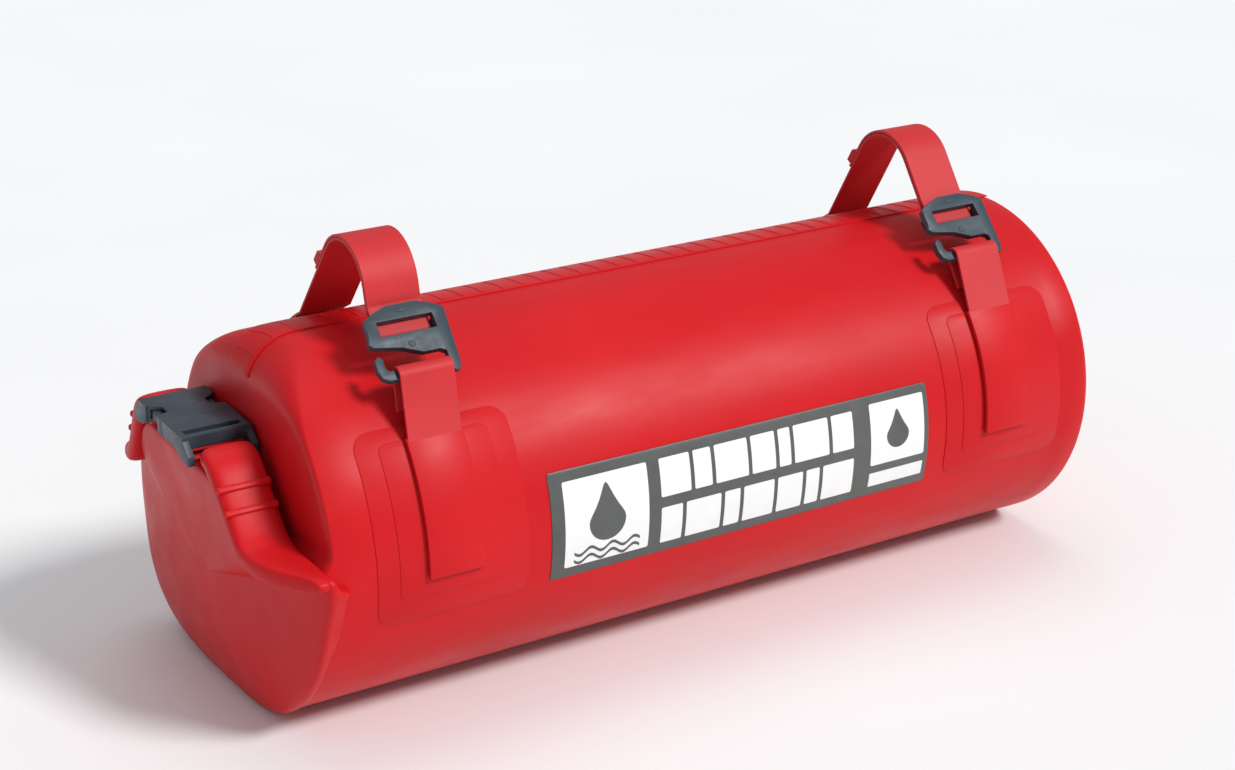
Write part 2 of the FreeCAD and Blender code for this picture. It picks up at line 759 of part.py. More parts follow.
def make_receiver():
    """The far half: two plates with a waist and side windows, and a webbing end."""
    body = buckle_body("buckle_receiver", size("buckle_joint"))
    half = size("buckle_width") / 2
    length = size("receiver_length")
    waist = half - 6.5
    outline = [(-half, 0), (half, 0), (half, 6), (waist, 9), (waist, length - 15),
               (half - 1, length - 11), (half, length), (-half, length),
               (-half + 1, length - 11), (-waist, length - 15), (-waist, 9), (-half, 6)]
    shape = new_sketch(body, "shape", "XY_Plane")
    polygon(shape, outline)
    pad(body, shape, "sizes.buckle_height", midplane=True)
    room = new_sketch(body, "room", "XZ_Plane")
    inside = half - size("buckle_wall")
    height = size("buckle_height") / 2 - size("buckle_wall")
    rectangle(room, (-inside, -height), (inside, height))
    pocket(body, room, "sizes.prong_length - 1", "socket")
    webbing_end(body, length, 1)


def make_male():
    """The near half: a slotted base with a webbing end, and a guide tongue."""
    body = buckle_body("buckle_male", size("buckle_joint"))
    half = size("buckle_width") / 2
    length = size("male_length")
    fit = size("buckle_fit")
    shape = new_sketch(body, "shape", "XY_Plane")
    rectangle(shape, (-half, -length), (half, -fit))
    pad(body, shape, "sizes.buckle_height", midplane=True)
    slot = new_sketch(body, "slot", "XY_Plane")
    wide = size("webbing_width") / 2 + 0.4
    near = -length + 4
    rectangle(slot, (-wide, near), (wide, near + size("slot_length")))
    pocket(body, slot, "2 * sizes.buckle_height", "webbing_slot", midplane=True)
    webbing_end(body, -length, -1)
    guide = new_sketch(body, "guide", "XZ_Plane", "sizes.buckle_fit")
    tongue = size("tongue_width") / 2
    height = size("buckle_height") / 2 - size("buckle_wall") - fit
    rectangle(guide, (-tongue, -height), (tongue, height))
    spear = pad(body, guide, "sizes.prong_length - 4", "tongue")
    spear.Reversed = True


def make_prongs():
    """The two spring arms beside the tongue, each with a thumb pad in its window."""
    fit = size("buckle_fit")
    outer = size("buckle_width") / 2 - size("buckle_wall") - fit
    length = size("prong_length") - 1 - 2 * fit
    width = size("prong_width")
    height = "sizes.buckle_height - 2 * sizes.buckle_wall - 2 * sizes.buckle_fit"
    for name, side in {"left": -1, "right": 1}.items():
        body = buckle_body(f"prong_{name}", size("buckle_joint"))
        shape = new_sketch(body, "shape", "XY_Plane")
        inner = outer - width
        points = [(inner, 0), (outer - 1.5, 0), (outer - 1.5, 7.5), (outer, 10), (outer, length - 2),
                  (outer - 2, length), (inner, length), (inner, 8)]
        polygon(shape, [(side * across, along) for across, along in points])
        pad(body, shape, height, midplane=True)


def make_tabs():
    """Short webbing ends that tie each buckle half's pin to its roll end."""
    turn = size("pin_width") / 2 + size("layer_gap") + size("webbing_thickness") / 2
    ends = {
        "near": (-1, size("buckle_joint") - size("male_length")),
        "far": (1, size("buckle_joint") + size("receiver_length")),
    }
    level = size("buckle_level") - size("pin_drop")
    for name, (side, end) in ends.items():
        pin = V(end - side * size("pin_inset"), level, 0)
        tip = V(end - side * size("webbing_thickness") / 2, level, 0)
        rise = V(0, turn, 0)
        edges = [
            Part.LineSegment(tip + rise, pin + rise),
            Part.Arc(pin + rise, pin - V(side * turn, 0, 0), pin - rise),
            Part.LineSegment(pin - rise, tip - rise),
        ]
        section_path(f"webbing_tab_{name}", edges, "sizes.webbing_width",
                     "sizes.webbing_thickness / 2", "sizes.roll_centre - sizes.webbing_width / 2")


# ---------------------------------------------------------------- build, test and write


def write_parts():
    doc.recompute()
    for item in doc.Objects:
        if "Invalid" in item.State or "Error" in item.State:
            raise RuntimeError(f"{item.Name} did not compute: {item.State}")
    os.makedirs("parts", exist_ok=True)
    for item in nodes:
        shape = item.Shape
        if shape.isNull() or not shape.isValid() or not shape.Solids:
            raise RuntimeError(f"{item.Label} has no valid solid")
        shape.exportStep(f"parts/{item.Label}.step")
    print(len(nodes), "sub-parts written")


make_bag()
make_shoulder()
make_mouth()
make_roll()
make_label()
make_loops()
make_receiver()
make_male()
make_prongs()
make_tabs()
write_parts()
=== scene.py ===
"""A red water ballast bag with a folded mouth, a buckle and two hooked webbing loops."""

import math

import bmesh
import bpy
from mathutils import Matrix, Vector


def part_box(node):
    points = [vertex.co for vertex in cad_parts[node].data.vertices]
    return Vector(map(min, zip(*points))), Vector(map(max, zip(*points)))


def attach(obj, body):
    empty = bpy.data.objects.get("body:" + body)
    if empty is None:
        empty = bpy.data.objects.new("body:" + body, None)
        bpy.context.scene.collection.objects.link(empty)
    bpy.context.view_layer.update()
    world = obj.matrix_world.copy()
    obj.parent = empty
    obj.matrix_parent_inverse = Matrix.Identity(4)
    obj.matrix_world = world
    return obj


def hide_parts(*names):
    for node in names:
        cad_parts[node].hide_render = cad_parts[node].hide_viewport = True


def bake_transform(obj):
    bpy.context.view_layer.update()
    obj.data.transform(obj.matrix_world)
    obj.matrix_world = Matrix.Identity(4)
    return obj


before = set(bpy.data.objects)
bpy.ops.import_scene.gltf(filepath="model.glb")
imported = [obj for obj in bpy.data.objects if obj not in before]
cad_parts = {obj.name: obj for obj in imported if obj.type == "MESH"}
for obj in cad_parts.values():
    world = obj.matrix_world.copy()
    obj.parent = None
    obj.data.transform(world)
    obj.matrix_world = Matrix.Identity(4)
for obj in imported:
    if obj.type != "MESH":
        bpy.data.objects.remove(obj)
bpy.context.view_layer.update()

MM = 0.001

# the bag's round section: its axis lies at AXIS above the ground
RADIUS = 90 * MM
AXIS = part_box("bag_tube")[1].z - RADIUS
REST = -AXIS
BAG_SEGMENTS = 168

# the round end, with its welded band
ROUND_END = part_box("end_disc")[1].x
END_RIM = 4 * MM
WELD_WIDTH = 15 * MM
WELD_RADIUS = RADIUS + 0.2 * MM

# the left shoulder, round at the top and tighter to the sides
SHOULDER_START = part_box("bag_tube")[0].x
SHOULDER_ROUND = 23 * MM
SHOULDER_REACH = 24 * MM
SHOULDER_SEAM = 31 * MM
SIDE_TIGHTER = 18.5 * MM
FACE_SETBACK = 0.8 * MM
FACE_LEAN = 1.2 * MM
MOUTH_RIM = SHOULDER_START - 33 * MM
RIM_OVERLAP = 3 * MM
RIM_INSET = 2 * MM

# the folded mouth
ROLL_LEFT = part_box("roll_arm_near")[0].x
ROLL_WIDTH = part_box("roll_arm_near")[1].x - ROLL_LEFT
ROLL_CENTRE = ROLL_LEFT + ROLL_WIDTH / 2
ROLL_THICKNESS = 10 * MM
ROLL_TOP = 45  # mm above the bag's axis
WELT_WIDTH = 3.4 * MM
WELT_HEIGHT = 2.4 * MM
WELT_PLACES = (0.42, 0.66)

# webbing, with angles in degrees up from the front of the bag
WEBBING_WIDTH = 27 * MM
WEBBING_THICKNESS = 1.4 * MM
WEBBING_RADIUS = RADIUS + 2.55 * MM
WEBBING_GAP = 0.25 * MM
STRAP_PLACE = 161.5 * MM
LOOP_LOW = -1.3
LOOP_LIFT = 37
LOOP_BACK = 47
LOOP_COVER = 0.45 * MM
BEND_CUTS = 14
FOLD_CUTS = 10
TAIL_LENGTH = 36 * MM
APEX_ROUND = 22 * MM
HOOK_BEND = 6 * MM
HEM_LENGTH = 7 * MM
HEM_LAYER = 0.75 * MM

# hooks, in each hook's own plane
HOOK_TILT = math.radians(44)
HOOK_THICKNESS = 3.6 * MM
HOOK_HEIGHT = 34 * MM
HOOK_BAR = 4.5 * MM
KEEPER_UP = 22.95 * MM
KEEPER_BACK = 5.6 * MM
KEEPER_RADIUS = 1.5 * MM

# the buckle's webbing pins
PIN_HEIGHT = 43.1  # mm above the bag's axis
PIN_RADIUS = 1.25 * MM

# patches and label, with angles in degrees up from the front of the bag
PATCH_THICKNESS = 0.7 * MM
SEAM_CUT = 2.5 * MM
BEND_STEP = 2.5
SEAM_LOW = 90
SEAM_HIGH = 105.9
LABEL_LOW = -14.8
LABEL_HIGH = 19.8
LABEL_HALF = 111 * MM

# the angle from which a panel's edge stays sharp, and how near two points are one
CRISP = 40
SAME_PLACE = 0.01 * MM


# ---------------------------------------------------------------- materials


def new_material(name, colour, roughness):
    """A material with its shader's steady values set, and its node tree."""
    material = bpy.data.materials.new(name)
    material.use_nodes = True
    tree = material.node_tree
    shader = tree.nodes["Principled BSDF"]
    shader.inputs["Base Color"].default_value = (*colour, 1)
    shader.inputs["Roughness"].default_value = roughness
    return material, tree, shader


def place_source(tree, kind="Object"):
    """Where a point lies on its own piece."""
    return tree.nodes.new("ShaderNodeTexCoord").outputs[kind]


def stretched(tree, source, scale):
    mapping = tree.nodes.new("ShaderNodeMapping")
    mapping.inputs["Scale"].default_value = scale
    tree.links.new(source, mapping.inputs["Vector"])
    return mapping.outputs["Vector"]


def noise(tree, source, scale, detail):
    texture = tree.nodes.new("ShaderNodeTexNoise")
    texture.inputs["Scale"].default_value = scale
    texture.inputs["Detail"].default_value = detail
    tree.links.new(source, texture.inputs["Vector"])
    return texture.outputs["Fac"]


def threads(tree, source, direction, scale):
    texture = tree.nodes.new("ShaderNodeTexWave")
    texture.wave_type = "BANDS"
    texture.bands_direction = direction
    texture.inputs["Scale"].default_value = scale
    texture.inputs["Distortion"].default_value = 0.4
    tree.links.new(source, texture.inputs["Vector"])
    return texture.outputs["Fac"]


def joined(tree, operation, first, second):
    """Two values through one math node; each is a number or another node's output."""
    node = tree.nodes.new("ShaderNodeMath")
    node.operation = operation
    for socket, value in zip(node.inputs, (first, second)):
        if isinstance(value, float):
            socket.default_value = value
        else:
            tree.links.new(value, socket)
    return node.outputs[0]


def spread(tree, factor, low, high):
    """The factor, moved to the range from low to high."""
    node = tree.nodes.new("ShaderNodeMapRange")
    node.inputs["From Min"].default_value = 0.3
    node.inputs["From Max"].default_value = 0.7
    node.inputs["To Min"].default_value = low
    node.inputs["To Max"].default_value = high
    tree.links.new(factor, node.inputs["Value"])
    return node.outputs["Result"]


def mottled(tree, shader, factor, dark, light):
    """Base colour that drifts between two close shades."""
    ramp = tree.nodes.new("ShaderNodeValToRGB")
    ramp.color_ramp.elements[0].position = 0.3
    ramp.color_ramp.elements[0].color = (*dark, 1)
    ramp.color_ramp.elements[1].position = 0.7
    ramp.color_ramp.elements[1].color = (*light, 1)
    tree.links.new(factor, ramp.inputs["Fac"])
    tree.links.new(ramp.outputs["Color"], shader.inputs["Base Color"])


def raised(tree, height, distance, strength, below=None):
    """A surface raised by a height, over another one where that is given."""
    bump = tree.nodes.new("ShaderNodeBump")
    bump.inputs["Strength"].default_value = strength
    bump.inputs["Distance"].default_value = distance
    tree.links.new(height, bump.inputs["Height"])
    if below:
        tree.links.new(below, bump.inputs["Normal"])
    return bump.outputs["Normal"]


def coated_cloth(name, dark, light, gloss):
    """Coated cloth: a faint scrim under a satin skin, slack waves and dull scuffs."""
    material, tree, shader = new_material(name, light, gloss)
    place = place_source(tree)
    mottled(tree, shader, noise(tree, place, 11, 4), dark, light)
    scuffs = noise(tree, stretched(tree, place, (0.4, 1, 1)), 60, 6)
    tree.links.new(spread(tree, scuffs, gloss - 0.04, gloss + 0.07), shader.inputs["Roughness"])
    shader.inputs["Specular IOR Level"].default_value = 0.2
    slack = raised(tree, noise(tree, place, 16, 1), 0.9 * MM, 0.5)
    scrim = joined(tree, "ADD", threads(tree, place, "X", 310), noise(tree, place, 900, 1))
    tree.links.new(raised(tree, scrim, 0.02 * MM, 0.3, slack), shader.inputs["Normal"])
    return material


def woven_webbing(name, dark, light):
    """Polyester webbing: ribs along its length, crossed by fine weft rows."""
    material, tree, shader = new_material(name, light, 0.6)
    along = place_source(tree, "UV")
    ribs = threads(tree, along, "X", 240)
    rows = threads(tree, along, "Y", 330)
    weave = joined(tree, "MULTIPLY", ribs, rows)
    drift = joined(tree, "ADD", noise(tree, place_source(tree), 30, 3), weave)
    mottled(tree, shader, joined(tree, "MULTIPLY", drift, 0.7), dark, light)
    shader.inputs["Sheen Weight"].default_value = 0.04
    shader.inputs["Sheen Roughness"].default_value = 0.4
    tree.links.new(raised(tree, weave, 0.08 * MM, 0.35), shader.inputs["Normal"])
    return material


def moulded_plastic(name, dark, light, roughness):
    """Fine-grained nylon with a slightly uneven surface."""
    material, tree, shader = new_material(name, light, roughness)
    place = place_source(tree)
    mottled(tree, shader, noise(tree, place, 90, 4), dark, light)
    wear = noise(tree, place, 250, 3)
    tree.links.new(spread(tree, wear, roughness - 0.05, roughness + 0.08), shader.inputs["Roughness"])
    grain = noise(tree, place, 1500, 2)
    tree.links.new(raised(tree, grain, 0.05 * MM, 0.3), shader.inputs["Normal"])
    return material


def printed_vinyl(name, dark, light):
    """Screen ink on smooth vinyl, a little patchy where it wears."""
    material, tree, shader = new_material(name, light, 0.45)
    place = place_source(tree)
    mottled(tree, shader, noise(tree, place, 120, 5), dark, light)
    wear = noise(tree, place, 40, 3)
    tree.links.new(spread(tree, wear, 0.38, 0.52), shader.inputs["Roughness"])
    grain = noise(tree, place, 700, 2)
    tree.links.new(raised(tree, grain, 0.02 * MM, 0.3), shader.inputs["Normal"])
    return material


def studio_floor():
    """A pale matt floor."""
    material, tree, shader = new_material("studio_floor", (0.86, 0.86, 0.86), 0.9)
    drift = noise(tree, place_source(tree), 3, 2)
    mottled(tree, shader, drift, (0.85, 0.85, 0.85), (0.88, 0.88, 0.88))
    return material


BAG_RED = coated_cloth("bag_red", (0.54, 0.005, 0.009), (0.61, 0.008, 0.012), 0.41)
PATCH_RED = coated_cloth("patch_red", (0.54, 0.006, 0.010), (0.61, 0.009, 0.013), 0.42)
WEBBING_RED = woven_webbing("webbing_red", (0.50, 0.007, 0.011), (0.61, 0.011, 0.016))
HOOK_SLATE = moulded_plastic("hook_slate", (0.022, 0.040, 0.054), (0.030, 0.052, 0.070), 0.5)
BUCKLE_SLATE = moulded_plastic("buckle_slate", (0.022, 0.036, 0.048), (0.032, 0.050, 0.064), 0.42)
LABEL_GREY = printed_vinyl("label_grey", (0.080, 0.086, 0.080), (0.095, 0.102, 0.096))
LABEL_WHITE = printed_vinyl("label_white", (0.84, 0.84, 0.83), (0.87, 0.87, 0.86))


# ---------------------------------------------------------------- pieces


def finish_piece(name, work, material, stands_for=(), body="bag", turn_out=True, crease=180):
    """Make a piece from a bmesh, give it its finish and let it ride its body."""
    if turn_out:
        bmesh.ops.recalc_face_normals(work, faces=work.faces)
    mesh = bpy.data.meshes.new(name)
    work.to_mesh(mesh)
    work.free()
    mesh.shade_smooth()
    if crease < 180:
        mesh.set_sharp_from_angle(angle=math.radians(crease))
    mesh.materials.append(material)
    piece = bpy.data.objects.new(name, mesh)
    bpy.context.scene.collection.objects.link(piece)
    if stands_for:
        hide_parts(*stands_for)
    if body:
        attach(piece, body)
    return piece


def round_edges(piece, width, segments=2, angle=35):
    """Round the edges that turn by more than an angle."""
    bevel = piece.modifiers.new("edges", "BEVEL")
    bevel.width = width
    bevel.segments = segments
    bevel.limit_method = "ANGLE"
    bevel.angle_limit = math.radians(angle)
    bevel.harden_normals = True


def subdivide(piece, levels):
    rounding = piece.modifiers.new("rounding", "SUBSURF")
    rounding.levels = levels
    rounding.render_levels = levels


def settle(piece):
    """Apply a piece's modifiers, so that its mesh is final."""
    graph = bpy.context.evaluated_depsgraph_get()
    mesh = bpy.data.meshes.new_from_object(piece.evaluated_get(graph))
    piece.modifiers.clear()
    piece.data = mesh


def partner_positions(before, after):
    """Pairs each new vertex of an extrusion with the one that it came from."""
    known = set(before)
    return {v: next(e.other_vert(v) for e in v.link_edges if e.other_vert(v) in known) for v in after}


def loft(rings):
    """A tube through rings of points, each ring extruded from the one before and moved."""
    work = bmesh.new()
    bmesh.ops.create_circle(work, segments=len(rings[0]), radius=1)
    ring = list(work.verts)
    edges = list(work.edges)
    for vertex, point in zip(ring, rings[0]):
        vertex.co = point
    for points in rings[1:]:
        grown = bmesh.ops.extrude_edge_only(work, edges=edges)["geom"]
        edges = [g for g in grown if isinstance(g, bmesh.types.BMEdge)]
        fresh = [g for g in grown if isinstance(g, bmesh.types.BMVert)]
        source = partner_positions(ring, fresh)
        order = {vertex: place for place, vertex in enumerate(ring)}
        ring = sorted(fresh, key=lambda v: order[source[v]])
        for vertex, point in zip(ring, points):
            vertex.co = point
    return work


def cap_ends(work):
    """Close a tube's two open ends."""
    bmesh.ops.holes_fill(work, edges=[e for e in work.edges if e.is_boundary])


def smooth(value):
    """A soft step from 0 to 1."""
    value = min(max(value, 0), 1)
    return value * value * (3 - 2 * value)


def in_section(x, point):
    """A point of the section, given across and up from the bag's axis, at a place along it."""
    return Vector((x, point.x, AXIS + point.y))


def around(angle, radius):
    """A point of the section at an angle up from the front of the bag."""
    turn = math.radians(angle)
    return Vector((-radius * math.cos(turn), radius * math.sin(turn)))


# ---------------------------------------------------------------- the bag's skin


def bag_profile():
    """The bag's outline from the middle of its round end to the middle of its left end."""
    rim_cuts, tube_cuts, shoulder_cuts, face_cuts = 4, 24, 10, 6
    # the end disc: how far it bulges, at each radius
    disc = [(1.4, 0), (1.2, 30), (0.6, 55), (0.2, 70), (-0.6, 74), (0, 76), (0, 85)]
    profile = [(ROUND_END + bulge * MM, radius * MM) for bulge, radius in disc]
    for step in range(rim_cuts + 1):
        turn = math.radians(90 * step / rim_cuts)
        x = ROUND_END - END_RIM * (1 - math.cos(turn))
        profile.append((x, WELD_RADIUS - END_RIM * (1 - math.sin(turn))))
    profile.append((ROUND_END - WELD_WIDTH, WELD_RADIUS))
    length = ROUND_END - WELD_WIDTH - 1 * MM - SHOULDER_START
    for step in range(tube_cuts + 1):
        profile.append((SHOULDER_START + length * (1 - step / tube_cuts), RADIUS))
    for step in range(1, shoulder_cuts + 1):
        turn = math.radians(90 * step / shoulder_cuts)
        x = SHOULDER_START - SHOULDER_ROUND * math.sin(turn)
        profile.append((x, RADIUS - SHOULDER_ROUND * (1 - math.cos(turn))))
    left = SHOULDER_START - SHOULDER_ROUND
    middle = RADIUS - SHOULDER_ROUND
    profile += [(left, middle * (1 - step / face_cuts)) for step in range(1, face_cuts + 1)]
    return profile


def left_end(point):
    """Move a point of the plain round shoulder to the real one, which is tighter to the sides."""
    radius = math.hypot(point.y, point.z)
    lift = math.degrees(math.asin(point.z / radius)) if radius else 90
    # how far down the side the point is, and whether it is above the folded mouth
    side = smooth((90 - lift) / 50)
    above = smooth((lift - 2) / 10)
    start = SHOULDER_START + 1 * MM - SHOULDER_REACH * side
    start += (MOUTH_RIM + RIM_OVERLAP - start) * (1 - above)
    face = SHOULDER_START - (SHOULDER_ROUND + FACE_SETBACK) - FACE_LEAN * side
    face += (MOUTH_RIM - face) * (1 - above)
    inset = SHOULDER_ROUND - SIDE_TIGHTER * side
    inset += (RIM_INSET - inset) * (1 - above)
    along = (SHOULDER_START - point.x) / SHOULDER_ROUND
    inwards = (RADIUS - radius) / SHOULDER_ROUND
    if inwards <= 1:
        new_radius = RADIUS - inset * inwards
    else:
        new_radius = (RADIUS - inset) * radius / (RADIUS - SHOULDER_ROUND)
    scale = new_radius / radius if radius else 0
    return Vector((start - (start - face) * along, point.y * scale, point.z * scale))


def over_shoulder(run, angle, height):
    """A point at a height over the skin, a run past the start of the left shoulder."""
    turn = run / SHOULDER_ROUND
    reach = SHOULDER_ROUND + height
    place = around(angle, RADIUS - SHOULDER_ROUND + reach * math.cos(turn))
    moved = left_end(Vector((SHOULDER_START - reach * math.sin(turn), place.x, place.y)))
    return moved + Vector((0, 0, AXIS))


def bag_skin():
    """The tube, its round end and its left shoulder, as one spun skin with a flat to rest on."""
    work = bmesh.new()
    line = [work.verts.new((x, 0, radius)) for x, radius in bag_profile()]
    edges = [work.edges.new(pair) for pair in zip(line, line[1:])]
    bmesh.ops.spin(work, geom=line + edges, axis=(1, 0, 0), cent=(0, 0, 0), angle=math.tau,
                   steps=BAG_SEGMENTS, use_merge=True)
    bmesh.ops.remove_doubles(work, verts=work.verts, dist=0.001 * MM)
    for vertex in work.verts:
        if vertex.co.x < SHOULDER_START - SAME_PLACE:
            vertex.co = left_end(vertex.co)
        vertex.co.z = max(vertex.co.z, REST) + AXIS
    return finish_piece(
        "bag_skin", work, BAG_RED,
        ("bag_tube", "end_disc", "end_weld_flange", "water_fill", "shoulder_cap"),
    )


# the fold's outline in mm, across and up from the bag's axis: along its top from the
# near end to the far end, then round below
MOUTH_OUTLINE = [
    (-101, 13), (-91, 12), (-77, 11.5), (-64, 12), (-55, 15), (-47, 23), (-40, 31), (-33, 37),
    (-24, 38.5), (0, 38.5), (20, 38.5), (40, 38.5), (53, 38.5), (62, 36), (69, 28), (75, 19),
    (81, 13), (89, 11), (98, 11), (103, 2), (105, -15), (104, -32), (103, -46), (100, -58),
    (93, -69), (82, -77.5), (66, -83.5), (48, -86.5), (24, -87.5), (0, -87.5), (-20, -87.5),
    (-38, -83), (-54, -74), (-68, -61), (-79, -46), (-87, -30), (-94, -12), (-100, 2),
]
# each ring's scale below and above, its distance in mm left of the rim below and above,
# and whether it runs flat under the rolled ends
MOUTH_RINGS = [
    (0.93, 0.93, -17, -3, True), (0.985, 0.985, -2, -3, True), (0.998, 1, 0.6, -2.5, False),
    (1, 1, 2.4, 0, False), (0.99, 1, 3.8, 18.5, False), (0.965, 0.985, 5, 21.4, False),
    (0.85, 0.87, 8.5, 20.8, False), (0.65, 0.65, 12, 19.5, False), (0.4, 0.4, 14.5, 18.5, False),
    (0.15, 0.15, 16.5, 17.5, False),
]
# the fold's upper part tapers off over MOUTH_TAPER towards its corners
MOUTH_CORNER = 102 * MM
MOUTH_TAPER = 36 * MM
MOUTH_SLANT = 0.06
MOUTH_FLAT = 4 * MM
MOUTH_MIDDLE = Vector((0, -20 * MM))


def mouth_fold():
    """The folded end: a smooth slanting face that carries on up between the rolled ends."""
    rings = []
    for scale_low, scale_high, low, high, flat in MOUTH_RINGS:
        ring = []
        for across, up in MOUTH_OUTLINE:
            point = Vector((across, up)) * MM
            above = smooth((up + 2) / 14)
            scale = scale_low + (scale_high - scale_low) * above
            above *= smooth((MOUTH_CORNER - abs(point.x)) / MOUTH_TAPER)
            tilt = -MOUTH_SLANT * point.x * (1 - above) * scale
            if flat:
                point.y = min(point.y, MOUTH_FLAT)
            point = MOUTH_MIDDLE + (point - MOUTH_MIDDLE) * scale
            x = MOUTH_RIM - (low + (high - low) * above) * MM + tilt
            ring.append(in_section(x, point))
        rings.append(ring)
    work = loft(rings)
    cap_ends(work)
    piece = finish_piece("mouth_fold", work, BAG_RED,
                         ("mouth_face", "rolled_mouth", "mouth_stiffener"))
    subdivide(piece, 2)


def arm_rings(stations):
    """Soft rounded sections, square to the line through the stations."""
    segments = 16
    rings = []
    middles = [Vector(station[0]) * MM for station in stations]
    for place, (_, thickness, left, right) in enumerate(stations):
        before = middles[max(place - 1, 0)]
        after = middles[min(place + 1, len(middles) - 1)]
        along = (after - before).normalized()
        out = Vector((-along.y, along.x))
        ring = []
        for step in range(segments):
            turn = math.tau * step / segments
            wide = math.copysign(abs(math.cos(turn)) ** 0.45, math.cos(turn))
            deep = math.copysign(abs(math.sin(turn)) ** 0.6, math.sin(turn))
            x = ROLL_LEFT + ROLL_WIDTH * (left + right) / 2 + wide * ROLL_WIDTH * (right - left) / 2
            ring.append(in_section(x, middles[place] + out * (deep * thickness * MM / 2)))
        rings.append(ring)
    return rings


# each station of a rolled end: its middle and its thickness in mm, and its left and right
# edges as shares of the roll's width
NEAR_ARM = [
    ((-101, 10), 3, 0.72, 0.9), ((-98, 10), 7, 0.67, 0.96), ((-91, 9.6), 9, 0.54, 0.98),
    ((-82, 9.2), 10, 0.32, 1), ((-70, 8.9), 10.5, 0.11, 1), ((-58, 9.4), 10.5, 0.05, 1),
    ((-50, 12.6), 10.5, 0.04, 1), ((-43, 20), 10, 0.04, 1), ((-36, 27.8), 10, 0.04, 1),
    ((-29, 36.4), 10, 0.03, 1), ((-24, 42), 10, 0.02, 1), ((-18.5, 44.8), 9.6, 0.02, 0.98),
    ((-12.6, 45), 9, 0.03, 0.97),
]
FAR_ARM = [
    ((101, 9.5), 3, 0.3, 0.9), ((97, 9.2), 7, 0.14, 0.96), ((90, 9), 10, 0.02, 1),
    ((83.5, 10.4), 10.5, 0, 1), ((79, 16), 10.5, 0, 1), ((74, 25.8), 10, 0, 1), ((69.5, 35), 10, 0, 1),
    ((65.5, 42.3), 10, 0, 1), ((61, 44.8), 9.6, 0.02, 0.98), ((55.6, 45), 9, 0.03, 0.97),
]


def weld_welts(low, high, side):
    """Two raised weld bars across the slope of a rolled end."""
    work = bmesh.new()
    low, high = Vector(low) * MM, Vector(high) * MM
    along = (high - low).normalized()
    out = Vector((along.y, -along.x)) * side
    for share in WELT_PLACES:
        middle = low.lerp(high, share) + out * (ROLL_THICKNESS / 2)
        shape = bmesh.ops.create_cube(work, size=1)["verts"]
        bmesh.ops.scale(work, verts=shape, vec=(ROLL_WIDTH - 1 * MM, WELT_WIDTH, WELT_HEIGHT))
        turn = Matrix.Rotation(math.atan2(along.y, along.x), 3, "X")
        bmesh.ops.rotate(work, verts=shape, cent=(0, 0, 0), matrix=turn)
        bmesh.ops.translate(work, verts=shape, vec=in_section(ROLL_CENTRE, middle))
    bmesh.ops.bevel(work, geom=list(work.edges), offset=1 * MM, affect="EDGES", segments=3,
                    profile=0.5, material=-1)
    return work


def rolled_ends():
    """The roll's two ends, folded down; the near one and its welts ride no body, and their modifiers
    are applied.
    """
    work = loft(arm_rings(NEAR_ARM))
    cap_ends(work)
    near = finish_piece("rolled_end_near", work, BAG_RED, ("roll_arm_near",), body=None)
    subdivide(near, 2)
    welts = weld_welts((-52, 8.9), (-21.4, ROLL_TOP), -1)
    near_welts = finish_piece("weld_welts_near", welts, BAG_RED, ("roll_ridges_near",),
                              body=None)
    for piece in (near, near_welts):
        settle(piece)
        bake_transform(piece)
    work = loft(arm_rings(FAR_ARM))
    cap_ends(work)
    far = finish_piece("rolled_end_far", work, BAG_RED, ("roll_arm_far",))
    subdivide(far, 2)
    welts = weld_welts((82, 8.9), (64.4, ROLL_TOP), 1)
    finish_piece("weld_welts_far", welts, BAG_RED, ("roll_ridges_far",))


# ---------------------------------------------------------------- panels welded round the bag


def flat_panel(work, left, right, low, high, corner=0.0):
    """A flat panel, x along the bag and y the distance up round it, with round corners."""
    verts = bmesh.ops.create_grid(work, x_segments=1, y_segments=1, size=0.5)["verts"]
    bmesh.ops.scale(work, verts=verts, vec=(right - left, high - low, 1))
    bmesh.ops.translate(work, verts=verts, vec=((left + right) / 2, (low + high) / 2, 0))
    if corner:
        bmesh.ops.bevel(work, geom=verts, offset=corner, affect="VERTICES", segments=6,
                        profile=0.5, material=-1)


def is_upper_rim(edge, height):
    """Whether an edge lies above a height and has an upright face beside it."""
    if min(vertex.co.z for vertex in edge.verts) <= height or len(edge.link_faces) != 2:
        return False
    return any(abs(face.normal.z) < 0.5 for face in edge.link_faces)


